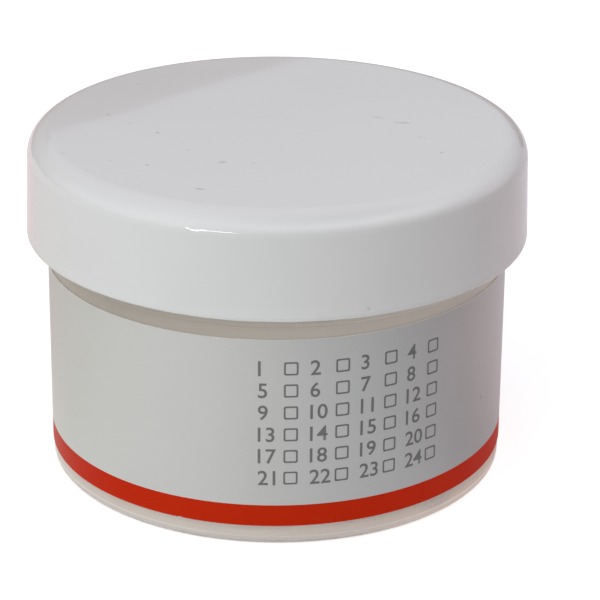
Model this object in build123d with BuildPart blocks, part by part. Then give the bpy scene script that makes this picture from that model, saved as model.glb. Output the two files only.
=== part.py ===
from build123d import *
import os
from math import cos, hypot, pi, radians, sin, sqrt

# Drying cup for hearing aids: a round moulded jar with a screw lid, a sieve insert
# that holds the hearing aids and a drying capsule below it.
# Millimetres. +Z is up, the origin is the centre of the base, and the photographed
# front faces -Y.

# ---- cup ----
cup_diameter = 70.4
cup_height = 50.2  # base to rim
cup_wall = 1.4
cup_floor = 1.3
base_edge_radius = 1.0  # outside, where the wall turns under
floor_corner_radius = 1.5  # inside, where the floor meets the wall
foot_ring_width = 4.0  # the ring that the cup stands on
foot_recess = 0.5  # how far the underside lies above that ring
gate_mark_radius = 2.0  # round moulding mark in the middle of the underside
gate_mark_depth = 0.2
rim_edge_radius = 0.4
bead_projection = 0.6  # stop bead round the wall, just below the lid
bead_height = 1.3
bead_edge_radius = 0.45
bead_below_lid = 0.9  # free height between the bead and the lid's lower edge

# ---- screw thread ----
thread_starts = 4
thread_pitch = 4.0  # height from one start to the next
thread_depth = 1.25  # how far the cup's ridges stand out of the neck
ridge_root_height = 1.9
ridge_crest_height = 0.9
ridge_root_sink = 0.4  # part of the ridge that lies in the wall, so that they fuse
ridge_fade_offset = 8.0  # a larger value makes the ridge ends fade out sooner
thread_end_margin = 2.25  # free height above and below the pair of threads
thread_clearance = 0.35  # between a crest and the wall that it faces

# ---- lid ----
lid_height = 15.7
lid_wall = 1.7  # at the lower edge
lid_taper = 0.5  # outer radius lost from the lower edge to the top
lid_top = 1.6  # thickness of the top plate
lid_edge_radius = 3.5
lid_corner_radius = 0.8  # inside, where the top plate meets the wall
lid_lip_radius = 0.35
liner_thickness = 1.2
liner_clearance = 0.1

# ---- label ----
label_thickness = 0.15
label_glue = 0.02  # adhesive between the wall and the film
label_above_base = 3.1
label_below_bead = 2.0
label_seam_gap = 4.0  # bare wall between the label's two ends, at the back
stripe_height = 3.5

# ---- sieve insert ----
tray_clearance = 0.5  # all round, in the cup
tray_wall = 1.1
tray_floor = 1.2
tray_depth = 13.0  # from the tray's floor to its rim
tray_lip = 0.5  # how far the lip stands into the tray
tray_lip_height = 1.6
tray_above_capsule = 1.6
leg_count = 4
leg_depth = 5.0  # measured outwards from the cup's axis
leg_width = 2.2
leg_inset = 2.3  # from the tray's outside
first_leg_angle = 45.0  # degrees from the finger tab on the right
tab_arc = 30.0  # degrees
tab_height = 6.5
tab_corner_radius = 2.5
sieve_slot_length = 6.0
sieve_slot_width = 2.0

# ---- drying capsule ----
capsule_clearance = 4.6  # finger room between the capsule and the legs
capsule_height = 12.6
cover_top = 1.2
cover_wall = 1.1
cover_skirt = 4.0  # full height of the cover's edge
cover_edge_radius = 0.6
snap_clearance = 0.15
snap_height = 0.8
snap_depth = 0.4
flange_width = 1.0  # how far the tub's flange stands out of its wall
flange_thickness = 1.2
tub_wall = 1.0
membrane_thickness = 0.4
membrane_inset = 0.5  # from the flange's edge
cover_slot_length = 4.0
cover_slot_width = 1.6
slot_land = 2.0  # solid width between neighbouring slots
bead_diameter = 4.2  # one silica bead
bead_gap = 0.1

# ---- heights and radii that follow ----
cup_radius = cup_diameter / 2
cup_inner_radius = cup_radius - cup_wall
floor_z = foot_recess + cup_floor
total_height = cup_height + liner_thickness + lid_top
lid_bottom_z = total_height - lid_height
bead_top_z = lid_bottom_z - bead_below_lid
bead_bottom_z = bead_top_z - bead_height
label_top_z = bead_bottom_z - label_below_bead
label_inner_radius = cup_radius + label_glue
label_radius = label_inner_radius + label_thickness

thread_lead = thread_starts * thread_pitch  # rise in one full turn
cup_crest_radius = cup_radius + thread_depth
lid_inner_radius = cup_crest_radius + thread_clearance
lid_crest_radius = cup_radius + thread_clearance
lid_radius = lid_inner_radius + lid_wall
liner_radius = lid_inner_radius - lid_corner_radius - liner_clearance
thread_drop = thread_pitch / 2  # the lid's ridges lie this far below the cup's
thread_rise = (
    cup_height - lid_bottom_z - 2 * thread_end_margin - thread_drop - ridge_root_height
)
cup_thread_z = cup_height - thread_end_margin - (thread_rise + ridge_root_height) / 2
lid_thread_z = cup_thread_z - thread_drop

tray_radius = cup_inner_radius - tray_clearance
leg_outer_radius = tray_radius - leg_inset
leg_inner_radius = leg_outer_radius - leg_depth
capsule_radius = leg_inner_radius - capsule_clearance
capsule_top_z = floor_z + capsule_height
tray_z = capsule_top_z + tray_above_capsule
tray_top_z = tray_z + tray_depth

cover_inner_radius = capsule_radius - cover_wall
flange_radius = cover_inner_radius - snap_clearance
tub_radius = flange_radius - flange_width
tub_inner_radius = tub_radius - tub_wall
tub_top_z = capsule_top_z - cover_top - membrane_thickness
flange_z = tub_top_z - flange_thickness


def circle_through(x, radius, angle):
    """Radius of the circle centred on (x, 0) that passes the point at a polar radius and angle."""
    return hypot(radius * cos(radians(angle)) - x, radius * sin(radians(angle)))


def helical_ridge(inner_radius, outer_radius, middle_z, crest_is_outside):
    """One start of a right-hand thread, centred on the +X side, with square ends."""
    half_arc = 180 * thread_rise / thread_lead
    half_depth = (outer_radius - inner_radius) / 2
    inner_half = (ridge_root_height if crest_is_outside else ridge_crest_height) / 2
    outer_half = (ridge_crest_height if crest_is_outside else ridge_root_height) / 2
    with BuildPart() as ridge:
        with BuildLine() as path:
            Helix(
                pitch=thread_lead,
                height=thread_rise,
                radius=inner_radius + half_depth,
                center=(0, 0, middle_z - thread_rise / 2),
            )
        start = path.line @ 0
        section = Plane(origin=start, x_dir=(start.X, start.Y, 0), z_dir=path.line % 0)
        with BuildSketch(section):
            with BuildLine():
                Polyline(
                    (-half_depth, -inner_half),
                    (half_depth, -outer_half),
                    (half_depth, outer_half),
                    (-half_depth, inner_half),
                    close=True,
                )
            make_face()
        sweep(path=path.line, is_frenet=True)
    return ridge.part.rotate(Axis.Z, -half_arc), half_arc


def cup_thread():
    """One outside ridge of the cup's neck. Both ends fade into the wall."""
    ridge, half_arc = helical_ridge(
        cup_radius - ridge_root_sink, cup_crest_radius, cup_thread_z, True
    )
    fade = circle_through(ridge_fade_offset, cup_radius, half_arc)
    with BuildPart() as thread:
        add(ridge)
        with BuildSketch(Plane.XY):
            with Locations((ridge_fade_offset, 0)):
                Circle(fade)
        extrude(amount=total_height, mode=Mode.INTERSECT)
    return thread.part


def lid_thread():
    """One inside ridge of the lid. Both ends fade into the wall."""
    ridge, half_arc = helical_ridge(
        lid_crest_radius, lid_inner_radius + ridge_root_sink, lid_thread_z, False
    )
    fade = circle_through(-ridge_fade_offset, lid_inner_radius, half_arc)
    with BuildPart() as thread:
        add(ridge)
        with BuildSketch(Plane.XY):
            with Locations((-ridge_fade_offset, 0)):
                Circle(fade)
        extrude(amount=total_height, mode=Mode.SUBTRACT)
    return thread.part


def slot_rings(field_radius, slot_length, slot_width):
    """Rings of radial slots that fill a round field: a list of (centre radius, number of slots)."""
    rings = []
    radius = field_radius - slot_length / 2
    while radius - slot_length / 2 > slot_width:
        inner_length = 2 * pi * (radius - slot_length / 2)
        count = max(int(inner_length / (slot_width + slot_land)), 3)
        rings.append((radius, count))
        radius -= slot_length + slot_land
    return rings


def bead_centres():
    """Centres of the silica beads: hexagonal layers, each lying in the hollows of the one below."""
    step = bead_diameter + bead_gap
    layer_step = step * sqrt(2 / 3)
    lowest = floor_z + tub_wall + bead_gap + bead_diameter / 2
    highest = tub_top_z - bead_gap - bead_diameter / 2
    reach = tub_inner_radius - bead_gap - bead_diameter / 2
    layers = int((highest - lowest) / layer_step) + 1
    across = int(reach / step) + 2
    centres = []
    for layer in range(layers):
        shift = layer % 2
        for row in range(-across, across + 1):
            for place in range(-across, across + 1):
                x = step * (place + row / 2 + shift / 2)
                y = step * (row * sqrt(3) / 2 + shift / (2 * sqrt(3)))
                if hypot(x, y) <= reach:
                    centres.append((x, y, lowest + layer * layer_step))
    return centres


# ---- cup: wall, floor, stop bead and the outside thread ----
cup_ridge = cup_thread()
with BuildPart() as cup:
    with BuildSketch(Plane.XZ):
        with BuildLine():
            Polyline(
                (0, foot_recess),
                (cup_radius - foot_ring_width, foot_recess),
                (cup_radius - foot_ring_width, 0),
                (cup_radius - base_edge_radius, 0),
            )
            RadiusArc(
                (cup_radius - base_edge_radius, 0),
                (cup_radius, base_edge_radius),
                -base_edge_radius,
            )
            Polyline(
                (cup_radius, base_edge_radius),
                (cup_radius, cup_height),
                (cup_inner_radius, cup_height),
                (cup_inner_radius, floor_z + floor_corner_radius),
            )
            RadiusArc(
                (cup_inner_radius, floor_z + floor_corner_radius),
                (cup_inner_radius - floor_corner_radius, floor_z),
                floor_corner_radius,
            )
            Polyline(
                (cup_inner_radius - floor_corner_radius, floor_z),
                (0, floor_z),
                (0, foot_recess),
            )
        make_face()
    revolve(axis=Axis.Z)
    rim_edges = cup.edges().filter_by(GeomType.CIRCLE).group_by(Axis.Z)[-1]
    fillet(rim_edges, rim_edge_radius)
    with BuildSketch(Plane.XY.offset(bead_bottom_z)):
        Circle(cup_radius + bead_projection)
        Circle(cup_radius - cup_wall / 2, mode=Mode.SUBTRACT)
    extrude(amount=bead_height)
    bead_edges = (
        cup.edges()
        .filter_by(GeomType.CIRCLE)
        .filter_by(lambda edge: edge.radius > cup_radius + bead_projection / 2)
    )
    fillet(bead_edges, bead_edge_radius)
    with PolarLocations(0, thread_starts):
        add(cup_ridge)
    with BuildSketch(Plane.XY.offset(foot_recess)):
        Circle(gate_mark_radius)
    extrude(amount=gate_mark_depth, mode=Mode.SUBTRACT)
cup.part.label = "cup"

# ---- lid: top plate, tapered wall with a rounded top edge, and the inside thread ----
lid_ridge = lid_thread()
with BuildPart() as lid:
    with BuildSketch(Plane.XZ):
        with BuildLine():
            Polyline(
                (0, total_height),
                (lid_radius - lid_taper, total_height),
                (lid_radius, lid_bottom_z),
                (lid_inner_radius, lid_bottom_z),
                (lid_inner_radius, total_height - lid_top),
                (0, total_height - lid_top),
                close=True,
            )
        make_face()
    revolve(axis=Axis.Z)
    circles = lid.edges().filter_by(GeomType.CIRCLE)
    fillet(circles.group_by(Axis.Z)[-1], lid_edge_radius)
    circles = lid.edges().filter_by(GeomType.CIRCLE)
    lips = circles.group_by(Axis.Z)[0]
    fillet(lips, lid_lip_radius)
    corner = (
        lid.edges()
        .filter_by(GeomType.CIRCLE)
        .filter_by(lambda edge: abs(edge.radius - lid_inner_radius) < lid_lip_radius / 2)
        .group_by(Axis.Z)[-1]
    )
    fillet(corner, lid_corner_radius)
    with PolarLocations(0, thread_starts):
        add(lid_ridge)
lid.part.label = "lid"

# ---- lid liner: foam disc between the rim and the top plate ----
with BuildPart() as lid_liner:
    with BuildSketch(Plane.XY.offset(cup_height)):
        Circle(liner_radius)
    extrude(amount=liner_thickness)
lid_liner.part.label = "lid_liner"


def wrapped_band(low_z, high_z, inner_radius, outer_radius):
    """A thin band round the cup's wall, open at the back by the label's seam gap."""
    seam_angle = 360 * label_seam_gap / (2 * pi * cup_radius)
    with BuildPart() as band:
        with BuildSketch(Plane.YZ.rotated((0, 0, seam_angle / 2))):
            with BuildLine():
                Polyline(
                    (inner_radius, low_z),
                    (outer_radius, low_z),
                    (outer_radius, high_z),
                    (inner_radius, high_z),
                    close=True,
                )
            make_face()
        revolve(axis=Axis.Z, revolution_arc=360 - seam_angle)
    return band.part


# ---- label: the printed film, in its grey panel and its red stripe ----
stripe_top_z = label_above_base + stripe_height
label = wrapped_band(stripe_top_z, label_top_z, label_inner_radius, label_radius)
label.label = "label"
label_stripe = wrapped_band(label_above_base, stripe_top_z, label_inner_radius, label_radius)
label_stripe.label = "label_stripe"

# ---- sieve insert: slotted tray on legs, with two finger tabs ----
with BuildPart() as sieve_insert:
    with BuildSketch(Plane.XZ):
        with BuildLine():
            Polyline(
                (0, tray_z),
                (tray_radius, tray_z),
                (tray_radius, tray_top_z),
                (tray_radius - tray_wall - tray_lip, tray_top_z),
                (tray_radius - tray_wall - tray_lip, tray_top_z - tray_lip_height),
                (tray_radius - tray_wall, tray_top_z - tray_lip_height - tray_lip),
                (tray_radius - tray_wall, tray_z + tray_floor),
                (0, tray_z + tray_floor),
                close=True,
            )
        make_face()
    revolve(axis=Axis.Z)
    with BuildSketch(Plane.XY.offset(tray_z)):
        for ring_radius, slots in slot_rings(
            leg_inner_radius, sieve_slot_length, sieve_slot_width
        ):
            with PolarLocations(ring_radius, slots):
                SlotOverall(sieve_slot_length, sieve_slot_width)
    extrude(amount=tray_floor, mode=Mode.SUBTRACT)
    with BuildSketch(Plane.XY.offset(floor_z)):
        with PolarLocations(
            leg_inner_radius + leg_depth / 2, leg_count, start_angle=first_leg_angle
        ):
            Rectangle(leg_depth, leg_width)
    extrude(amount=tray_z - floor_z)
    for tab_angle in (0, 180):
        with BuildSketch(Plane.XZ.rotated((0, 0, tab_angle - tab_arc / 2))):
            with BuildLine():
                Polyline(
                    (tray_radius - tray_wall, tray_top_z - tray_lip_height),
                    (tray_radius, tray_top_z - tray_lip_height),
                    (tray_radius, tray_top_z + tab_height),
                    (tray_radius - tray_wall, tray_top_z + tab_height),
                    close=True,
                )
            make_face()
        revolve(axis=Axis.Z, revolution_arc=tab_arc)
    tab_corners = sieve_insert.edges().filter_by(GeomType.LINE).group_by(Axis.Z)[-1]
    fillet(tab_corners, tab_corner_radius)
sieve_insert.part.label = "sieve_insert"

# ---- capsule tub: clear, with a flange that the cover snaps over ----
with BuildPart() as capsule_tub:
    with BuildSketch(Plane.XZ):
        with BuildLine():
            Polyline(
                (0, floor_z),
                (tub_radius, floor_z),
                (tub_radius, flange_z),
                (flange_radius, flange_z),
                (flange_radius, tub_top_z),
                (tub_inner_radius, tub_top_z),
                (tub_inner_radius, floor_z + tub_wall),
                (0, floor_z + tub_wall),
                close=True,
            )
        make_face()
    revolve(axis=Axis.Z)
capsule_tub.part.label = "capsule_tub"

# ---- capsule cover: slotted plate with a skirt that snaps under the flange ----
snap_top_z = flange_z - snap_clearance
with BuildPart() as capsule_cover:
    with BuildSketch(Plane.XZ):
        with BuildLine():
            Polyline(
                (0, capsule_top_z - cover_top),
                (cover_inner_radius, capsule_top_z - cover_top),
                (cover_inner_radius, snap_top_z),
                (cover_inner_radius - snap_depth, snap_top_z - snap_height / 2),
                (cover_inner_radius, snap_top_z - snap_height),
                (cover_inner_radius, capsule_top_z - cover_skirt),
                (capsule_radius, capsule_top_z - cover_skirt),
                (capsule_radius, capsule_top_z),
                (0, capsule_top_z),
                close=True,
            )
        make_face()
    revolve(axis=Axis.Z)
    cover_edge = capsule_cover.edges().filter_by(GeomType.CIRCLE).group_by(Axis.Z)[-1]
    fillet(cover_edge, cover_edge_radius)
    with BuildSketch(Plane.XY.offset(capsule_top_z - cover_top)):
        for ring_radius, slots in slot_rings(
            tub_inner_radius, cover_slot_length, cover_slot_width
        ):
            with PolarLocations(ring_radius, slots):
                SlotOverall(cover_slot_length, cover_slot_width)
    extrude(amount=cover_top, mode=Mode.SUBTRACT)
capsule_cover.part.label = "capsule_cover"

# ---- capsule membrane: non-woven disc clamped on the flange by the cover ----
with BuildPart() as capsule_membrane:
    with BuildSketch(Plane.XY.offset(tub_top_z)):
        Circle(flange_radius - membrane_inset)
    extrude(amount=membrane_thickness)
capsule_membrane.part.label = "capsule_membrane"

# ---- silica beads: each bead is its own solid ----
with BuildPart() as silica_beads:
    with Locations(*bead_centres()):
        Sphere(bead_diameter / 2)
silica_beads.part.label = "silica_beads"

# ---- write one STEP file for each piece ----
os.makedirs("parts", exist_ok=True)
export_step(cup.part, "parts/cup.step")
export_step(lid.part, "parts/lid.step")
export_step(lid_liner.part, "parts/lid_liner.step")
export_step(label, "parts/label.step")
export_step(label_stripe, "parts/label_stripe.step")
export_step(sieve_insert.part, "parts/sieve_insert.step")
export_step(capsule_tub.part, "parts/capsule_tub.step")
export_step(capsule_cover.part, "parts/capsule_cover.step")
export_step(capsule_membrane.part, "parts/capsule_membrane.step")
export_step(silica_beads.part, "parts/silica_beads.step")
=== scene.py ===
"""Looks for a hearing aid drying cup: a moulded jar with a glossy screw lid, a wrapped film label with a red stripe,
a slotted tray insert and a drying capsule. Metres, +Z up, and the photographed front faces -Y."""

import math

import bmesh
import bpy
from mathutils import Matrix, Vector


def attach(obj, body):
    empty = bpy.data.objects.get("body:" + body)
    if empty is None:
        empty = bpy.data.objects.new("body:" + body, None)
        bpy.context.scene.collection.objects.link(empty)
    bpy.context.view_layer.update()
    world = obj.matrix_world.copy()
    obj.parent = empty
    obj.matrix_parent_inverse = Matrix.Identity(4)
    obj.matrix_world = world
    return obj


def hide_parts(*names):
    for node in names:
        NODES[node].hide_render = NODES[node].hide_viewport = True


MM = 0.001
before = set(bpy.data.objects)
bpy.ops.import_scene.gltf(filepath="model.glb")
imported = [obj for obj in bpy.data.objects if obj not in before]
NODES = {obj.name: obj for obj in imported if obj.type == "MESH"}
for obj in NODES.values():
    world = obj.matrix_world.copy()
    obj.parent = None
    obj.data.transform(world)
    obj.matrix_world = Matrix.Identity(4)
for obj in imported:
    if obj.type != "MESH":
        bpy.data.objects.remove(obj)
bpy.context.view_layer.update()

# ---------------------------------------------------------------- node helpers


class Shader:
    """Builds one node material. Every texture reads object coordinates in millimetres."""

    def __init__(self, name):
        self.material = bpy.data.materials.new(name)
        self.material.use_nodes = True
        self.tree = self.material.node_tree
        self.tree.nodes.clear()
        self.output = self.tree.nodes.new("ShaderNodeOutputMaterial")
        coords = self.tree.nodes.new("ShaderNodeTexCoord")
        scale = self.node("ShaderNodeVectorMath", operation="SCALE")
        self.tree.links.new(coords.outputs["Object"], scale.inputs[0])
        scale.inputs["Scale"].default_value = 1000.0
        self.mm = scale.outputs["Vector"]

    def node(self, kind, inputs=None, **props):
        n = self.tree.nodes.new(kind)
        for key, value in props.items():
            setattr(n, key, value)
        for key, value in (inputs or {}).items():
            self.put(n.inputs[key], value)
        return n

    def put(self, socket, value):
        if isinstance(value, bpy.types.NodeSocket):
            self.tree.links.new(value, socket)
        elif isinstance(value, (tuple, list)) and len(value) == 3 and socket.type == "RGBA":
            socket.default_value = (*value, 1.0)
        else:
            socket.default_value = value

    def math(self, operation, a, b=0.0, c=0.0, clamp=False):
        n = self.node("ShaderNodeMath", {0: a, 1: b, 2: c}, operation=operation)
        n.use_clamp = clamp
        return n.outputs[0]

    def vector_math(self, operation, *inputs):
        sockets = dict(enumerate(inputs))
        return self.node("ShaderNodeVectorMath", sockets, operation=operation)

    def noise(self, scale, detail=3.0, roughness=0.55, vector=None):
        """Perlin noise from 0 to 1. scale is in features per millimetre."""
        sockets = {
            "Vector": vector or self.mm,
            "Scale": scale,
            "Detail": detail,
            "Roughness": roughness,
        }
        return self.node("ShaderNodeTexNoise", sockets).outputs["Fac"]

    def stretched(self, x, y, z):
        """The coordinates, scaled by a factor along each axis."""
        return self.vector_math("MULTIPLY", self.mm, (x, y, z)).outputs["Vector"]

    def placed(self, vector, centre, turn, size):
        """How far the vector is from a centre, in sizes along axes turned about Z by an angle in degrees."""
        local = self.node(
            "ShaderNodeMapping",
            {
                "Vector": vector,
                "Location": centre,
                "Rotation": (0.0, 0.0, math.radians(turn)),
                "Scale": size,
            },
            vector_type="TEXTURE",
        )
        return self.vector_math("LENGTH", local.outputs["Vector"]).outputs["Value"]

    def radius(self, x, y):
        squares = self.math("ADD", self.math("MULTIPLY", x, x), self.math("MULTIPLY", y, y))
        return self.math("SQRT", squares)

    def near(self, value, place, inner, outer):
        """1 where the value is within inner of the place, down to 0 where it is further off than outer."""
        away = self.math("ABSOLUTE", self.math("SUBTRACT", value, place))
        return self.band(away, inner, outer, 1.0, 0.0)

    def band(self, value, low, high, out_low=0.0, out_high=1.0):
        """The value, taken from the range low to high to the range out_low to out_high, and held at its ends."""
        sockets = {
            "Value": value,
            "From Min": low,
            "From Max": high,
            "To Min": out_low,
            "To Max": out_high,
        }
        return self.node("ShaderNodeMapRange", sockets, clamp=True).outputs["Result"]

    def mix(self, factor, a, b):
        n = self.node("ShaderNodeMix", data_type="RGBA")
        self.put(n.inputs["Factor"], factor)
        self.put(n.inputs["A"], a)
        self.put(n.inputs["B"], b)
        return n.outputs["Result"]

    def xyz(self):
        n = self.node("ShaderNodeSeparateXYZ", {0: self.mm})
        return n.outputs["X"], n.outputs["Y"], n.outputs["Z"]

    def bump(self, height, distance, strength=1.0, normal=None):
        """distance is the height in millimetres that a value of 1 stands for."""
        sockets = {"Height": height, "Distance": distance * MM, "Strength": strength}
        n = self.node("ShaderNodeBump", sockets)
        if normal is not None:
            self.put(n.inputs["Normal"], normal)
        return n.outputs["Normal"]

    def marks(self, places):
        """Dust and small scuffs: each is (place in mm, (x, y, z) size, turn in degrees, strength). Gives one mask."""
        ragged = self.node("ShaderNodeTexNoise", {"Vector": self.mm, "Scale": 2.5, "Detail": 3.0}).outputs["Color"]
        ragged = self.vector_math("SUBTRACT", ragged, (0.5, 0.5, 0.5)).outputs["Vector"]
        ragged = self.node("ShaderNodeVectorMath", {0: ragged, "Scale": 0.9}, operation="SCALE").outputs["Vector"]
        place = self.vector_math("ADD", self.mm, ragged).outputs["Vector"]
        total = 0.0
        for centre, size, turn, strength in places:
            away = self.placed(place, centre, turn, size)
            total = self.math("MAXIMUM", total, self.band(away, 0.35, 1.0, strength, 0.0))
        return total

    def principled(self, **sockets):
        names = {k: k.replace("_", " ") for k in sockets}
        n = self.node("ShaderNodeBsdfPrincipled")
        for key, value in sockets.items():
            self.put(n.inputs[names[key]], value)
        return n

    def finish(self, shader):
        self.tree.links.new(shader, self.output.inputs["Surface"])
        return self.material


# ---------------------------------------------------------------- camera

# fitted to the photograph's outlines: place in millimetres, and the lens in millimetres on a 36 mm sensor
CAMERA_PLACE = Vector((0.0149, -382.953, 185.830)) * MM
CAMERA_YAW = math.radians(0.540)
CAMERA_PITCH = math.radians(22.855)
CAMERA_ROLL = math.radians(-0.548)
CAMERA_LENS = 159.51


def make_camera():
    forward = Vector(
        (
            math.sin(CAMERA_YAW) * math.cos(CAMERA_PITCH),
            math.cos(CAMERA_YAW) * math.cos(CAMERA_PITCH),
            -math.sin(CAMERA_PITCH),
        )
    )
    level = Vector((math.cos(CAMERA_YAW), -math.sin(CAMERA_YAW), 0.0))
    upward = level.cross(forward)
    right = level * math.cos(CAMERA_ROLL) - upward * math.sin(CAMERA_ROLL)
    up = level * math.sin(CAMERA_ROLL) + upward * math.cos(CAMERA_ROLL)
    data = bpy.data.cameras.new("camera")
    data.sensor_width = 36.0
    data.sensor_fit = "HORIZONTAL"
    data.lens = CAMERA_LENS
    data.clip_start = 0.01
    data.clip_end = 50.0
    camera = bpy.data.objects.new("camera", data)
    bpy.context.scene.collection.objects.link(camera)
    rotation = Matrix((right, up, -forward)).transposed().to_4x4()
    camera.matrix_world = Matrix.Translation(CAMERA_PLACE) @ rotation
    bpy.context.scene.camera = camera


make_camera()

# ---------------------------------------------------------------- stage and light


def link(obj):
    bpy.context.scene.collection.objects.link(obj)
    return obj


def plane(name, corners, material):
    mesh = bpy.data.meshes.new(name)
    mesh.from_pydata([Vector(c) for c in corners], [], [(0, 1, 2, 3)])
    mesh.materials.append(material)
    obj = link(bpy.data.objects.new(name, mesh))
    return obj


# What the studio gives from each side: (azimuth from the front and + towards +X, elevation, tightness, colour).
# The sky lights everything. The gloss lobes are softer boxes that only mirrored rays see.
SKY_BASE = (0.00, 0.00, 0.00)
SKY_LOBES = [
    (-135, 20, 4, (0.18, 0.12, 0.10)),
    (-70, 20, 4, (0.14, 0.10, 0.09)),
    (-45, 20, 4, (1.18, 1.22, 1.20)),
    (-20, 20, 4, (0.15, 0.18, 0.11)),
    (90, 20, 4, (0.40, 0.31, 0.28)),
    (135, 20, 4, (0.56, 0.54, 0.58)),
    (180, 20, 4, (0.26, 0.24, 0.26)),
    (-30, 55, 4, (0.76, 0.77, 0.85)),
    (180, 55, 4, (0.28, 0.33, 0.29)),
    (0, 90, 3, (0.35, 0.35, 0.44)),
]
GLOSS_LOBES = [
    (-110, 8, 30, (0.20, 0.20, 0.21)),
    (-110, 22, 30, (0.36, 0.36, 0.38)),
    (-90, 8, 30, (0.43, 0.44, 0.45)),
    (-90, 22, 30, (0.31, 0.32, 0.33)),
    (-70, 8, 30, (0.49, 0.50, 0.52)),
    (-70, 22, 30, (0.22, 0.22, 0.23)),
    (-50, 8, 30, (0.42, 0.43, 0.44)),
    (-50, 22, 30, (0.16, 0.16, 0.16)),
    (-30, 8, 30, (0.11, 0.11, 0.12)),
    (-30, 22, 30, (0.08, 0.09, 0.09)),
    (-10, 8, 30, (0.21, 0.22, 0.22)),
    (-10, 22, 30, (0.34, 0.34, 0.35)),
    (-10, 36, 30, (0.53, 0.55, 0.56)),
    (10, 8, 30, (0.39, 0.39, 0.40)),
    (10, 22, 30, (0.60, 0.61, 0.63)),
    (10, 36, 30, (0.98, 0.99, 1.02)),
    (10, 52, 30, (0.08, 0.08, 0.08)),
    (30, 8, 30, (0.44, 0.44, 0.46)),
    (30, 22, 30, (0.71, 0.72, 0.74)),
    (30, 36, 30, (1.29, 1.30, 1.34)),
    (30, 52, 30, (0.28, 0.28, 0.29)),
    (50, 8, 30, (0.47, 0.48, 0.49)),
    (50, 22, 30, (0.74, 0.76, 0.78)),
    (50, 36, 30, (1.43, 1.44, 1.50)),
    (50, 52, 30, (0.53, 0.54, 0.55)),
    (70, 8, 30, (0.44, 0.45, 0.46)),
    (70, 22, 30, (0.75, 0.77, 0.79)),
    (70, 36, 30, (1.47, 1.50, 1.54)),
    (70, 52, 30, (0.66, 0.66, 0.68)),
    (90, 8, 30, (0.36, 0.37, 0.38)),
    (90, 22, 30, (0.62, 0.63, 0.65)),
    (90, 36, 30, (1.20, 1.23, 1.26)),
    (90, 52, 30, (0.59, 0.60, 0.62)),
    (110, 8, 30, (0.65, 0.66, 0.68)),
    (110, 22, 30, (0.48, 0.49, 0.50)),
    (110, 36, 30, (0.59, 0.60, 0.61)),
    (110, 52, 30, (0.41, 0.42, 0.43)),
    (130, 8, 30, (0.24, 0.24, 0.25)),
    (130, 22, 30, (0.23, 0.23, 0.24)),
    (130, 36, 30, (0.54, 0.55, 0.57)),
    (130, 52, 30, (0.47, 0.48, 0.50)),
    (-176, 28, 100, (0.14, 0.15, 0.15)),
    (-168, 22, 100, (0.04, 0.04, 0.04)),
]
# The floor's own tones, by side: the base and the lobes for mirrored rays, the glow for the light it throws back.
FLOOR_BASE = (0.18, 0.12, 0.10)
FLOOR_GLOW = [
    (60, 0, 4, (0.34, 0.29, 0.27)),
    (100, 0, 4, (0.60, 0.54, 0.52)),
]
FLOOR_LOBES = [
    (-135, 0, 3, (0.10, 0.04, 0.05)),
    (-90, 0, 3, (0.54, 0.60, 0.54)),
    (-45, 0, 3, (0.58, 0.58, 0.60)),
    (0, 0, 3, (0.31, 0.36, 0.34)),
    (45, 0, 3, (0.24, 0.27, 0.32)),
    (135, 0, 3, (0.20, 0.18, 0.20)),
    (180, 0, 3, (0.28, 0.26, 0.29)),
    (-150, 0, 14, (0.39, 0.32, 0.35)),
    (-115, 0, 14, (0.21, 0.21, 0.21)),
    (105, 0, 14, (0.24, 0.18, 0.21)),
    (130, 0, 14, (0.21, 0.21, 0.22)),
    (152, 0, 14, (0.11, 0.16, 0.18)),
]


def towards(azimuth, elevation):
    """Unit vector at these angles in degrees. azimuth is from the front, + towards +X."""
    a = math.radians(azimuth)
    e = math.radians(elevation)
    return math.sin(a) * math.cos(e), -math.cos(a) * math.cos(e), math.sin(e)


def lobes(tree, direction, base, parts):
    """Smooth lights from several sides, added up. The base has no tightness, so it is the same on every side."""
    total = None
    for azimuth, elevation, tightness, colour in [(0, 0, 0, base)] + parts:
        dot = tree.nodes.new("ShaderNodeVectorMath")
        dot.operation = "DOT_PRODUCT"
        tree.links.new(direction, dot.inputs[0])
        dot.inputs[1].default_value = towards(azimuth, elevation)
        lit = tree.nodes.new("ShaderNodeMath")
        lit.operation = "MAXIMUM"
        tree.links.new(dot.outputs["Value"], lit.inputs[0])
        lit.inputs[1].default_value = 0.0
        shape = tree.nodes.new("ShaderNodeMath")
        shape.operation = "POWER"
        tree.links.new(lit.outputs[0], shape.inputs[0])
        shape.inputs[1].default_value = tightness
        part = tree.nodes.new("ShaderNodeVectorMath")
        part.operation = "SCALE"
        part.inputs[0].default_value = colour
        tree.links.new(shape.outputs[0], part.inputs["Scale"])
        if total is None:
            total = part.outputs["Vector"]
        else:
            plus = tree.nodes.new("ShaderNodeVectorMath")
            plus.operation = "ADD"
            tree.links.new(total, plus.inputs[0])
            tree.links.new(part.outputs["Vector"], plus.inputs[1])
            total = plus.outputs["Vector"]
    return total


FLOOR_TONE = (0.62, 0.62, 0.62)
FLOOR_HALF = 6.0  # metres from the middle to an edge
GLOW_NEAR = 60.0  # millimetres from the axis to where the floor's glow starts to fade, and to where it ends
GLOW_FAR = 140.0


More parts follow.
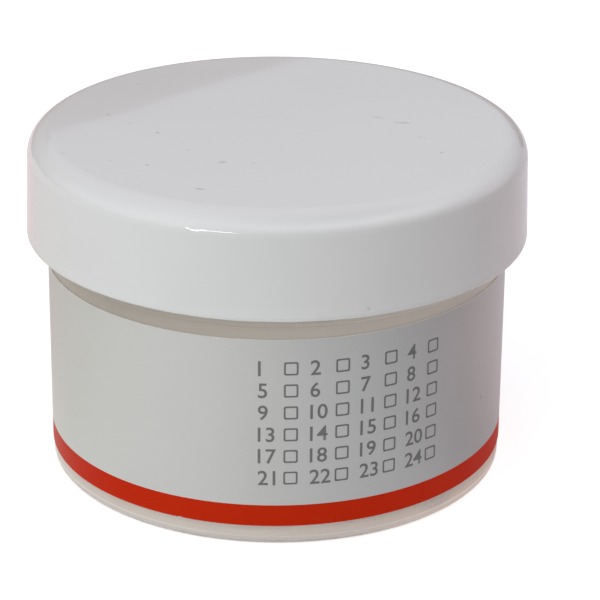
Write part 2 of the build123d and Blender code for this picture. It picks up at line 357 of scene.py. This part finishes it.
def floor_material():
    """Pale paper. In gloss it shows the even tone of each side of the studio, and to the camera it is near white."""
    s = Shader("floor_white")
    rays = s.node("ShaderNodeLightPath")
    x, y, _ = s.xyz()
    flat = s.node("ShaderNodeCombineXYZ", {0: x, 1: y}).outputs[0]
    outward = s.vector_math("NORMALIZE", flat).outputs["Vector"]
    sides = lobes(s.tree, outward, FLOOR_BASE, FLOOR_LOBES)
    paper = s.node("ShaderNodeBsdfDiffuse", {"Color": FLOOR_TONE})
    seen = s.node("ShaderNodeEmission", {"Color": FLOOR_TONE, "Strength": rays.outputs["Is Camera Ray"]})
    lit = s.node("ShaderNodeAddShader", {0: paper.outputs[0], 1: seen.outputs[0]})
    fade = s.band(s.radius(x, y), GLOW_NEAR, GLOW_FAR, 1.0, 0.0)
    strength = s.math("MULTIPLY", fade, rays.outputs["Is Diffuse Ray"])
    warm = lobes(s.tree, outward, (0, 0, 0), FLOOR_GLOW)
    glow = s.node("ShaderNodeEmission", {"Color": warm, "Strength": strength})
    lit = s.node("ShaderNodeAddShader", {0: lit.outputs[0], 1: glow.outputs[0]})
    mirrored = s.node("ShaderNodeEmission", {"Color": sides, "Strength": 1.0})
    mix = s.node("ShaderNodeMixShader", {0: rays.outputs["Is Glossy Ray"], 1: lit.outputs[0], 2: mirrored.outputs[0]})
    return s.finish(mix.outputs[0])


FLOOR_CORNERS = [(sx * FLOOR_HALF, sy * FLOOR_HALF, 0) for sx, sy in ((-1, -1), (1, -1), (1, 1), (-1, 1))]
plane("floor", FLOOR_CORNERS, floor_material())

# a low grey card far behind the cup, higher at the left, which only the gloss of the lid's top shows
CARD_COLOUR = (0.33, 0.26, 0.21)
CARD_CORNERS = [(-0.5, 0.6, 0.0), (0.35, 0.6, 0.0), (0.35, 0.6, 0.124), (-0.5, 0.6, 0.396)]


def card_material():
    s = Shader("card_grey")
    return s.finish(s.node("ShaderNodeEmission", {"Color": CARD_COLOUR, "Strength": 1.0}).outputs[0])


card = plane("back_card", CARD_CORNERS, card_material())
card.visible_camera = False
card.visible_diffuse = False
card.visible_transmission = False
card.visible_shadow = False


LIGHT_TARGET = Vector((0, 0, 0.045))


def area_light(name, azimuth, elevation, distance, width, height, power):
    """A soft box that faces the object. Angles in degrees, sizes in metres, power in watts."""
    direction = Vector(towards(azimuth, elevation))
    data = bpy.data.lights.new(name, "AREA")
    data.shape = "RECTANGLE"
    data.size = width
    data.size_y = height
    data.energy = power
    obj = link(bpy.data.objects.new(name, data))
    obj.location = LIGHT_TARGET + direction * distance
    obj.rotation_euler = direction.to_track_quat("Z", "Y").to_euler()
    obj.visible_camera = False


# the narrow box whose streak shows on the lid's rounded edge
area_light("strip_left", azimuth=-27.5, elevation=5.0, distance=0.8, width=0.32, height=0.035, power=0.60)


def make_world():
    """A light tent: smooth light from all sides, softer boxes that only gloss shows, and white behind the object."""
    world = bpy.data.worlds.new("studio")
    bpy.context.scene.world = world
    world.use_nodes = True
    world.cycles.sampling_method = "NONE"
    tree = world.node_tree
    tree.nodes.clear()
    output = tree.nodes.new("ShaderNodeOutputWorld")
    direction = tree.nodes.new("ShaderNodeTexCoord").outputs["Generated"]
    rays = tree.nodes.new("ShaderNodeLightPath")
    sky = tree.nodes.new("ShaderNodeBackground")
    tree.links.new(lobes(tree, direction, SKY_BASE, SKY_LOBES), sky.inputs["Color"])
    boxes = tree.nodes.new("ShaderNodeBackground")
    tree.links.new(lobes(tree, direction, (0, 0, 0), GLOSS_LOBES), boxes.inputs["Color"])
    tree.links.new(rays.outputs["Is Glossy Ray"], boxes.inputs["Strength"])
    total = tree.nodes.new("ShaderNodeAddShader")
    tree.links.new(sky.outputs[0], total.inputs[0])
    tree.links.new(boxes.outputs[0], total.inputs[1])
    white = tree.nodes.new("ShaderNodeBackground")
    white.inputs["Color"].default_value = (1.0, 1.0, 1.0, 1.0)
    mix = tree.nodes.new("ShaderNodeMixShader")
    tree.links.new(rays.outputs["Is Camera Ray"], mix.inputs[0])
    tree.links.new(total.outputs[0], mix.inputs[1])
    tree.links.new(white.outputs[0], mix.inputs[2])
    tree.links.new(mix.outputs[0], output.inputs["Surface"])


make_world()

# ---------------------------------------------------------------- label and stripe film

# millimetres
LABEL_INNER = 35.22  # the film's inner radius, just clear of the wall
LABEL_OUTER = 35.37
STRIPE_LOW = 3.1
STRIPE_TOP = 6.6
LABEL_TOP = 33.1
FILM_EDGE = 0.10  # how much of the label's top is its rounded cut edge
STRIPE_EDGE = 0.09
PRINT_JOIN = 0.002  # where one print goes on into the next
STRIPE_NICK = (-23.5, 0.9, 0.13)  # angle in degrees, half width in degrees, height
SEAM_GAP_DEG = 6.5
FILM_SEGMENTS = 480
LABEL_TILT = 0.26  # the film was wrapped slightly askew: its edges rise by this much at +X


def on_wall(radius, angle, z):
    """Point at an angle in degrees from the front, + towards +X."""
    a = math.radians(angle)
    return Vector((radius * math.sin(a), -radius * math.cos(a), z)) * MM


def mark_sharp(obj, degrees):
    obj.data.set_sharp_from_angle(angle=math.radians(degrees))


def film(name, low, high, bottom_edge, top_edge, notch=None):
    """A thin band open at the back, with cut edges that are rounded by bottom_edge and top_edge."""
    mesh = bpy.data.meshes.new(name)
    bm = bmesh.new()
    step = (360.0 - SEAM_GAP_DEG) / FILM_SEGMENTS
    rings = []
    for i in range(FILM_SEGMENTS + 1):
        angle = -180.0 + SEAM_GAP_DEG / 2 + i * step
        lean = math.sin(math.radians(angle))
        z0 = low + LABEL_TILT * lean
        z1 = high + LABEL_TILT * lean
        if notch:
            place, half_width, height = notch
            z0 += height * max(0.0, 1.0 - abs(angle - place) / half_width)
        rows = [
            (LABEL_INNER, z0),
            (LABEL_OUTER - 0.8 * bottom_edge, z0),
            (LABEL_OUTER, z0 + bottom_edge),
            (LABEL_OUTER, z0 + (z1 - z0) * 0.34),
            (LABEL_OUTER, z0 + (z1 - z0) * 0.67),
            (LABEL_OUTER, z1 - top_edge),
            (LABEL_OUTER - 0.8 * top_edge, z1),
            (LABEL_INNER, z1),
        ]
        rings.append([bm.verts.new(on_wall(r, angle, z)) for r, z in rows])
    count = len(rings[0])
    for a, b in zip(rings, rings[1:]):
        for k in range(count):
            m = (k + 1) % count
            face = bm.faces.new((a[k], b[k], b[m], a[m]))
            face.smooth = True
            face.material_index = 0 if 2 <= k <= 4 else 1  # the printed front, or a cut edge and the back
    for ring, flip in ((rings[0], False), (rings[-1], True)):
        face = bm.faces.new(list(reversed(ring)) if flip else ring)
        face.material_index = 1
    bmesh.ops.recalc_face_normals(bm, faces=bm.faces)
    bm.to_mesh(mesh)
    bm.free()
    obj = link(bpy.data.objects.new(name, mesh))
    mark_sharp(obj, 35)
    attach(obj, "cup")
    return obj


def film_coordinates(s):
    """Distance along the wrapped film, and height, as a flat pattern in millimetres."""
    x, y, z = s.xyz()
    angle = s.math("ARCTAN2", x, s.math("MULTIPLY", y, -1.0))
    along = s.math("MULTIPLY", angle, LABEL_OUTER)
    return along, z


HATCH_PITCH = 0.55  # millimetres between the printing screen's lines
HATCH_SLANT = (0.80, 0.60)  # the direction across the lines, along and up


def film_material(name, colour, deep, metallic, roughness, hatch, shine, spots=None):
    """Printed film: cloudy and grainy between two colours, with the printing screen's faint diagonal lines."""
    s = Shader(name)
    along, z = film_coordinates(s)
    flat = s.node("ShaderNodeCombineXYZ", {0: along, 1: z, 2: 0.0}).outputs[0]
    cloudy = s.noise(0.06, 4.0, 0.5, flat)
    fine = s.noise(2.2, 3.0, 0.6, flat)
    diagonal = s.math("ADD", s.math("MULTIPLY", along, HATCH_SLANT[0]), s.math("MULTIPLY", z, HATCH_SLANT[1]))
    lines = s.math("SINE", s.math("MULTIPLY", diagonal, 2 * math.pi / HATCH_PITCH))
    tone = s.math("ADD", s.math("MULTIPLY", lines, hatch), s.band(cloudy, 0.3, 0.7, -0.18, 0.18))
    tone = s.math("ADD", tone, s.band(fine, 0.2, 0.8, -0.12, 0.12))
    fac = s.math("ADD", s.math("MULTIPLY", tone, 0.5), 0.5, clamp=True)
    tint = s.mix(fac, deep, colour)
    if spots:
        tint = s.mix(s.marks(spots), tint, (0.16, 0.15, 0.14))
    uneven = s.math("ADD", fine, s.math("MULTIPLY", cloudy, 0.8))
    rough = s.band(uneven, 0.4, 1.4, roughness - 0.05, roughness + 0.06)
    wavy = s.noise(0.12, 2.0, 0.4, flat)
    normal = s.bump(fine, 0.004, 0.5)
    normal = s.bump(lines, 0.0009, 1.0, normal)
    normal = s.bump(wavy, 0.05, 0.5, normal)
    skin = s.principled(
        Base_Color=tint,
        Metallic=metallic,
        Roughness=rough,
        IOR=1.5,
        Specular_IOR_Level=shine,
        Normal=normal,
    )
    return s.finish(skin.outputs[0])


def cut_edge_material():
    s = Shader("film_cut_edge")
    grain = s.noise(3.0, 3.0)
    skin = s.principled(
        Base_Color=s.mix(grain, (0.66, 0.64, 0.60), (0.76, 0.74, 0.70)),
        Roughness=s.band(grain, 0.2, 0.8, 0.5, 0.65),
    )
    return s.finish(skin.outputs[0])


LABEL_MARKS = [((31.0, -17.0, 15.8), (0.40, 0.32, 0.34), 0, 0.40)]
silver = film_material(
    "label_silver_print",
    colour=(0.57, 0.575, 0.565),
    deep=(0.51, 0.515, 0.51),
    metallic=0.6,
    roughness=0.38,
    hatch=0.22,
    shine=0.5,
    spots=LABEL_MARKS,
)
red = film_material(
    "stripe_red_print",
    colour=(0.56, 0.024, 0.003),
    deep=(0.52, 0.020, 0.002),
    metallic=0.0,
    roughness=0.40,
    hatch=0.10,
    shine=0.05,
)
edge_white = cut_edge_material()

label_film = film("label_film", STRIPE_TOP, LABEL_TOP, PRINT_JOIN, FILM_EDGE)
label_film.data.materials.append(silver)
label_film.data.materials.append(edge_white)
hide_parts("label")

stripe_film = film("label_stripe_film", STRIPE_LOW, STRIPE_TOP, STRIPE_EDGE, PRINT_JOIN, STRIPE_NICK)
stripe_film.data.materials.append(red)
stripe_film.data.materials.append(edge_white)
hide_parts("label_stripe")

# ---------------------------------------------------------------- generic print: a table of twenty-four numbers to tick

# millimetres, unless the name says degrees
INK_RADIUS = LABEL_OUTER + 0.012
TABLE_ROWS = 6
TABLE_COLUMNS = 4
TABLE_LEFT_DEG = -4.3
TABLE_TOP = 27.4
ROW_PITCH = 3.5
COLUMN_PITCH = 7.6
DIGIT_HEIGHT = 2.35
BOX_STEP = 3.75  # from a number's left to its box's left
BOX_RISE = 0.1
BOX_SIZE = 2.1
BOX_LINE = 0.27
BOX_CORNER = 0.28
CORNER_TURNS = (0, 30, 60, 90)  # degrees


def wrap(mesh, angle, z):
    """Bends a flat mesh (X along the film, Y up, millimetres) round the label."""
    for v in mesh.vertices:
        lean = math.degrees(v.co.x / LABEL_OUTER)
        rise = LABEL_TILT * math.sin(math.radians(angle + lean))
        v.co = on_wall(INK_RADIUS, angle + lean, z + v.co.y + rise)


def number_mesh(text, height):
    """Plain digits in the built-in typeface, as a flat mesh of that cap height."""
    curve = bpy.data.curves.new("digits", "FONT")
    curve.body = text
    curve.size = 1.0
    curve.offset = 0.012
    curve.resolution_u = 6
    source = bpy.data.objects.new("digits", curve)
    link(source)
    bpy.context.view_layer.update()
    mesh = bpy.data.meshes.new_from_object(source.evaluated_get(bpy.context.evaluated_depsgraph_get()))
    bpy.data.objects.remove(source)
    bpy.data.curves.remove(curve)
    low = min(v.co.y for v in mesh.vertices)
    high = max(v.co.y for v in mesh.vertices)
    left = min(v.co.x for v in mesh.vertices)
    factor = height / (high - low)
    for v in mesh.vertices:
        v.co = Vector(((v.co.x - left) * factor, (v.co.y - low) * factor, 0.0))
    return mesh


def tick_box_mesh(size, line):
    """A square outline with rounded corners."""
    mesh = bpy.data.meshes.new("tick_box")
    bm = bmesh.new()
    loops = []
    for inset in (0.0, line):
        half = size / 2 - inset
        corner = BOX_CORNER - inset * 0.4
        loop = []
        for k, (sx, sy) in enumerate(((1, 1), (-1, 1), (-1, -1), (1, -1))):
            cx = sx * (half - corner)
            cy = sy * (half - corner)
            for j in CORNER_TURNS:
                turn = math.radians(90 * k + j)
                x = cx + corner * math.cos(turn) + size / 2
                y = cy + corner * math.sin(turn) + size / 2
                loop.append(bm.verts.new((x, y, 0.0)))
        loops.append(loop)
    n = len(loops[0])
    for k in range(n):
        m = (k + 1) % n
        bm.faces.new((loops[0][k], loops[0][m], loops[1][m], loops[1][k]))
    bm.to_mesh(mesh)
    bm.free()
    return mesh


def ink_material():
    s = Shader("grey_ink")
    grain = s.noise(3.5, 3.0, 0.6)
    colour = s.mix(grain, (0.120, 0.122, 0.120), (0.175, 0.177, 0.172))
    skin = s.principled(Base_Color=colour, Roughness=s.band(grain, 0.2, 0.8, 0.34, 0.46), IOR=1.5)
    return s.finish(skin.outputs[0])


def print_numbers():
    """The numbers, each with a box to tick, as one mesh."""
    bm = bmesh.new()
    pitch = math.degrees(COLUMN_PITCH / LABEL_OUTER)
    box_step = math.degrees(BOX_STEP / LABEL_OUTER)
    for row in range(TABLE_ROWS):
        z = TABLE_TOP - ROW_PITCH * row
        for column in range(TABLE_COLUMNS):
            angle = TABLE_LEFT_DEG + column * pitch
            digits = number_mesh(str(TABLE_COLUMNS * row + column + 1), DIGIT_HEIGHT)
            wrap(digits, angle, z)
            box = tick_box_mesh(BOX_SIZE, BOX_LINE)
            wrap(box, angle + box_step, z + BOX_RISE)
            for mesh in (digits, box):
                bm.from_mesh(mesh)
                bpy.data.meshes.remove(mesh)
    mesh = bpy.data.meshes.new("label_numbers")
    bm.to_mesh(mesh)
    bm.free()
    obj = link(bpy.data.objects.new("label_numbers", mesh))
    obj.data.materials.append(ink_material())
    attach(obj, "cup")


print_numbers()

# ---------------------------------------------------------------- moulded plastics


GRAIN_HEIGHT = 0.003  # millimetres, of the moulded surfaces


def moulded(name, colour, deep, roughness):
    """Injection-moulded plastic: faint flow clouds, fine surface grain, and light scuffs in the roughness."""
    s = Shader(name)
    clouds = s.noise(0.05, 4.0, 0.5)
    grain = s.noise(1.6, 4.0, 0.6)
    fac = s.math("ADD", s.math("MULTIPLY", clouds, 0.7), s.math("MULTIPLY", grain, 0.3), clamp=True)
    base = s.mix(s.band(fac, 0.3, 0.7), deep, colour)
    scuff = s.noise(0.35, 6.0, 0.7, s.stretched(1.0, 0.25, 1.0))
    rough = s.band(grain, 0.2, 0.8, roughness - 0.03, roughness + 0.03)
    rough = s.math("ADD", rough, s.band(scuff, 0.6, 0.75, 0.0, 0.06))
    normal = s.bump(grain, GRAIN_HEIGHT, 0.6)
    normal = s.bump(clouds, 0.06, 0.4, normal)
    skin = s.principled(Base_Color=base, Roughness=rough, IOR=1.5, Normal=normal)
    return s.finish(skin.outputs[0])


def dress(node, material):
    obj = NODES[node]
    obj.data.materials.clear()
    obj.data.materials.append(material)


LID_MARKS = [
    ((-22.2, 20.2, 53.0), (0.42, 0.30, 1.00), 20, 0.60),
    ((-26.0, 5.0, 53.0), (0.55, 0.25, 1.00), -35, 0.50),
    ((-18.2, -3.0, 53.0), (0.35, 0.28, 1.00), 0, 0.65),
    ((-22.4, 1.2, 53.0), (0.28, 0.22, 1.00), 0, 0.30),
    ((-10.8, 8.9, 53.0), (0.35, 0.25, 1.00), 10, 0.25),
    ((-8.1, -16.0, 53.0), (0.95, 0.45, 1.00), 25, 0.35),
    ((-3.5, -16.3, 53.0), (0.35, 0.28, 1.00), 0, 0.35),
    ((-19.0, -17.4, 53.0), (0.25, 0.40, 1.00), 0, 0.40),
    ((-24.5, -15.5, 53.0), (0.50, 0.25, 1.00), 30, 0.30),
    ((-11.0, -27.3, 53.0), (1.10, 0.28, 1.00), -12, 0.42),
    ((19.1, 2.2, 53.0), (1.70, 0.55, 1.00), -4, 0.28),
    ((15.3, 4.7, 53.0), (1.30, 0.60, 1.00), -14, 0.16),
    ((24.3, -11.2, 53.0), (0.35, 0.35, 1.00), 0, 0.38),
    ((18.7, -33.6, 53.0), (0.40, 0.30, 1.00), 0, 0.35),
    ((-31.8, -12.6, 53.0), (0.70, 0.18, 1.00), 25, 0.22),
    ((21.7, -4.6, 53.0), (1.10, 0.50, 1.00), -35, 0.14),
    ((-13.4, -10.8, 53.0), (0.45, 0.22, 1.00), -50, 0.20),
    ((13.06, -36.22, 38.4), (0.35, 0.35, 0.32), 0, 0.45),
]


TOP_Z = (52.2, 52.9)  # from where the lid's rounded edge runs into its flat top
RING_RADIUS = 35.3
SCRATCH_TURN = 0.6  # radians


def lid_material():
    """Glossy white moulding: a mirror-smooth skin that is slightly wavy, with dust and fine scratches."""
    s = Shader("lid_white_plastic_painted_light")
    x, y, z = s.xyz()
    clouds = s.noise(0.05, 4.0, 0.5)
    grain = s.noise(1.6, 4.0, 0.6)
    base = s.mix(s.band(clouds, 0.3, 0.7), (0.70, 0.70, 0.695), (0.72, 0.72, 0.715))
    # painted light: the flat top is painted a little whiter, most of all at the front, where more light falls on it
    front = s.band(y, -30.0, 20.0, 0.75, 0.25)
    base = s.mix(s.math("MULTIPLY", s.band(z, *TOP_Z), front), base, (0.755, 0.75, 0.745))
    # dust: a speck in about half of the cells, on the top only, and the marks
    dots = s.node("ShaderNodeTexVoronoi", {"Vector": s.mm, "Scale": 0.11, "Randomness": 1.0})
    pick = s.node("ShaderNodeSeparateColor", {0: dots.outputs["Color"]}).outputs[0]
    pick = s.band(pick, 0.45, 0.55)
    pick = s.math("MULTIPLY", pick, s.band(z, 52.8, 52.95))
    specks = s.math("MULTIPLY", s.band(dots.outputs["Distance"], 0.012, 0.026, 0.3, 0.0), pick)
    dust = s.math("MAXIMUM", s.marks(LID_MARKS), specks)
    base = s.mix(dust, base, (0.20, 0.18, 0.165))
    drawn = {"Vector": s.mm, "Rotation": (0.0, 0.0, SCRATCH_TURN), "Scale": (0.15, 2.4, 1.0)}
    hairs = s.noise(0.5, 6.0, 0.75, s.node("ShaderNodeMapping", drawn).outputs[0])
    rough = s.band(hairs, 0.62, 0.72, 0.035, 0.09)
    rough = s.math("ADD", rough, s.math("MULTIPLY", dust, 0.5))
    # a faint ring where the flat top was turned in the mould, and the wavy lower lip
    ring = s.near(s.radius(x, y), RING_RADIUS, 0.0, 0.45)
    wavy = s.noise(0.035, 2.0, 0.4)
    lip = s.math("MULTIPLY", s.noise(0.22, 2.0, 0.5), s.band(z, 37.6, 39.2, 1.0, 0.0))
    normal = s.bump(wavy, 0.04, 0.5)
    normal = s.bump(ring, 0.008, 0.7, normal)
    normal = s.bump(lip, 0.35, 0.6, normal)
    normal = s.bump(s.math("MULTIPLY", dust, grain), 0.05, 0.5, normal)
    skin = s.principled(Base_Color=base, Roughness=rough, IOR=1.5, Normal=normal)
    return s.finish(skin.outputs[0])


dress("lid", lid_material())

FLASH_SEGMENTS = 1080


def lip_drop(angle):
    """How far the flash hangs below the lid's lip, in millimetres: least at the left, most at the right."""
    a = math.radians(angle)
    long_waves = 0.035 * math.sin(2 * a + 0.6) + 0.02 * math.sin(5 * a + 1.9)
    short_waves = 0.018 * math.sin(23 * a + 0.4) * math.sin(3 * a + 1.0)
    short_waves += 0.014 * math.sin(41 * a) * math.sin(4 * a + 2.0)
    return max(0.015, 0.11 + 0.075 * math.sin(a - 0.1) + long_waves + short_waves)


def lip_flash():
    """The uneven edge that the mould leaves along the lid's lower lip, as a closed ring. Rows in millimetres."""
    mesh = bpy.data.meshes.new("lid_lip_flash")
    bm = bmesh.new()
    rings = []
    for i in range(FLASH_SEGMENTS):
        angle = 360.0 * i / FLASH_SEGMENTS
        drop = lip_drop(angle)
        rows = [
            (38.30, 37.62),
            (38.488, 37.62),
            (38.485, 37.50 - 0.5 * drop),
            (38.46, 37.38 - 0.9 * drop),
            (38.41, 37.31 - drop),
            (38.34, 37.32 - drop),
            (38.27, 37.36 - 0.7 * drop),
            (38.20, 37.40),
        ]
        rings.append([bm.verts.new(on_wall(r, angle, z)) for r, z in rows])
    for i, a in enumerate(rings):
        b = rings[(i + 1) % FLASH_SEGMENTS]
        for k in range(len(a)):
            m = (k + 1) % len(a)
            bm.faces.new((a[k], b[k], b[m], a[m])).smooth = True
    bmesh.ops.recalc_face_normals(bm, faces=bm.faces)
    bm.to_mesh(mesh)
    bm.free()
    obj = link(bpy.data.objects.new("lid_lip_flash", mesh))
    obj.data.materials.append(NODES["lid"].data.materials[0])
    mark_sharp(obj, 60)
    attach(obj, "lid")


lip_flash()

# heights of the cup's zones in millimetres, each from where it starts to where it is full
FOOT_Z = (1.18, 1.30)
# the height of a painted highlight: a thin pale line along the foot's edge
PAINTED_HIGHLIGHT_Z = 1.36
WALL_Z = (4.0, 6.5)
THICK_Z = (6.0, 20.0)  # the thick floor glows through below the first height, the thin wall hardly from the second
# a darker mottled patch near the foot at the right front
DARKER_PATCH = ((24.5, -25.3, 2.35), 44.0, (4.6, 3.0, 1.1))  # place, turn in degrees, size
GLOW_RADIUS = (6.0, 6.0, 6.0)


def cup_material():
    """Natural polypropylene: milky, and light passes through it most of all near the thick floor and its foot ring. Its
    colour also holds painted light: a painted glow on the strip and foot below the label, a painted lighter wall
    towards +X, and a painted highlight line along the foot's edge.
    """
    s = Shader("cup_natural_plastic_painted_light")
    x, y, z = s.xyz()
    clouds = s.noise(0.05, 4.0, 0.5)
    grain = s.noise(1.6, 4.0, 0.6)
    fac = s.band(s.math("ADD", s.math("MULTIPLY", clouds, 0.7), s.math("MULTIPLY", grain, 0.3)), 0.3, 0.7)
    wall = s.mix(fac, (0.415, 0.365, 0.31), (0.455, 0.405, 0.35))
    # painted light: the wall is painted lighter towards +X
    wall = s.mix(s.band(x, -24.0, 34.0), wall, (0.75, 0.68, 0.61))
    # painted glow: the strip below the label and the foot are painted much lighter than the wall, for the light that
    # comes through the thick floor
    strip = s.mix(fac, (0.86, 0.705, 0.605), (0.90, 0.745, 0.645))
    foot = s.mix(fac, (0.84, 0.72, 0.65), (0.87, 0.75, 0.68))
    # the strip's and foot's painted glow is darker towards the left and right sides
    ends = s.band(s.math("ABSOLUTE", x), 16.0, 34.0)
    strip = s.mix(ends, strip, (0.77, 0.63, 0.55))
    foot = s.mix(ends, foot, (0.76, 0.65, 0.59))
    wander = s.math("MULTIPLY", s.math("SUBTRACT", s.noise(0.12), 0.5), 0.15)
    height = s.math("ADD", z, wander)
    base = s.mix(s.band(height, *WALL_Z), strip, wall)
    base = s.mix(s.band(height, *FOOT_Z), foot, base)
    # a painted highlight: a thin pale line along the foot's edge
    base = s.mix(s.near(height, PAINTED_HIGHLIGHT_Z, 0.08, 0.20), base, (0.96, 0.85, 0.77))
    # a darker mottled patch near the foot at the right front
    away = s.placed(s.mm, *DARKER_PATCH)
    patch = s.math("MULTIPLY", s.band(away, 0.55, 1.0, 0.8, 0.0), s.band(grain, 0.2, 0.6))
    base = s.mix(patch, base, (0.60, 0.55, 0.53))
    scuff = s.noise(0.35, 6.0, 0.7, s.stretched(1.0, 1.0, 0.25))
    rough = s.math("ADD", s.band(grain, 0.2, 0.8, 0.27, 0.33), s.band(scuff, 0.6, 0.75, 0.0, 0.06))
    normal = s.bump(grain, GRAIN_HEIGHT, 0.6)
    normal = s.bump(clouds, 0.06, 0.4, normal)
    skin = s.principled(Base_Color=base, Roughness=rough, IOR=1.5, Normal=normal)
    skin.subsurface_method = "RANDOM_WALK"
    s.put(skin.inputs["Subsurface Weight"], s.band(z, *THICK_Z, 0.9, 0.2))
    s.put(skin.inputs["Subsurface Radius"], GLOW_RADIUS)
    s.put(skin.inputs["Subsurface Scale"], MM)
    return s.finish(skin.outputs[0])


dress("cup", cup_material())
dress("sieve_insert", moulded("insert_white_plastic", (0.74, 0.74, 0.73), (0.70, 0.70, 0.69), 0.38))
dress("capsule_cover", moulded("capsule_white_plastic", (0.76, 0.76, 0.75), (0.71, 0.71, 0.70), 0.28))


def foam_material():
    s = Shader("liner_foam")
    cells = s.noise(2.4, 4.0, 0.7)
    skin = s.principled(
        Base_Color=s.mix(cells, (0.62, 0.61, 0.58), (0.78, 0.77, 0.74)),
        Roughness=s.band(cells, 0.2, 0.8, 0.7, 0.9),
        Normal=s.bump(cells, 0.05, 0.8),
    )
    return s.finish(skin.outputs[0])


def fleece_material():
    s = Shader("membrane_fleece")
    a = s.noise(1.2, 5.0, 0.7, s.stretched(1.0, 0.15, 1.0))
    b = s.noise(1.2, 5.0, 0.7, s.stretched(0.15, 1.0, 1.0))
    fibres = s.math("MAXIMUM", a, b)
    skin = s.principled(
        Base_Color=s.mix(s.band(fibres, 0.45, 0.75), (0.66, 0.65, 0.61), (0.84, 0.83, 0.80)),
        Roughness=s.band(fibres, 0.4, 0.8, 0.95, 0.8),
        Normal=s.bump(fibres, 0.08, 0.9),
        Sheen_Weight=0.3,
    )
    return s.finish(skin.outputs[0])


def clear_material():
    s = Shader("clear_polystyrene")
    haze = s.noise(0.25, 5.0, 0.6)
    skin = s.principled(
        Base_Color=s.mix(haze, (0.90, 0.92, 0.93), (0.97, 0.98, 0.98)),
        Roughness=s.band(haze, 0.3, 0.8, 0.03, 0.12),
        IOR=1.59,
        Transmission_Weight=1.0,
        Normal=s.bump(haze, 0.02, 0.4),
    )
    return s.finish(skin.outputs[0])


def silica_material():
    s = Shader("orange_silica_beads")
    island = s.node("ShaderNodeNewGeometry").outputs["Random Per Island"]
    mottled = s.noise(0.7, 3.0, 0.6)
    fac = s.math("ADD", s.math("MULTIPLY", island, 0.7), s.math("MULTIPLY", mottled, 0.3), clamp=True)
    skin = s.principled(
        Base_Color=s.mix(fac, (0.78, 0.20, 0.015), (0.86, 0.36, 0.05)),
        Roughness=s.band(mottled, 0.3, 0.7, 0.12, 0.28),
        IOR=1.46,
        Normal=s.bump(mottled, 0.05, 0.5),
    )
    s.put(skin.inputs["Subsurface Weight"], 0.5)
    s.put(skin.inputs["Subsurface Radius"], (1.4, 0.6, 0.2))
    s.put(skin.inputs["Subsurface Scale"], MM)
    return s.finish(skin.outputs[0])


dress("lid_liner", foam_material())
dress("capsule_membrane", fleece_material())
dress("capsule_tub", clear_material())
dress("silica_beads", silica_material())

bpy.context.scene.view_settings.view_transform = "Standard"
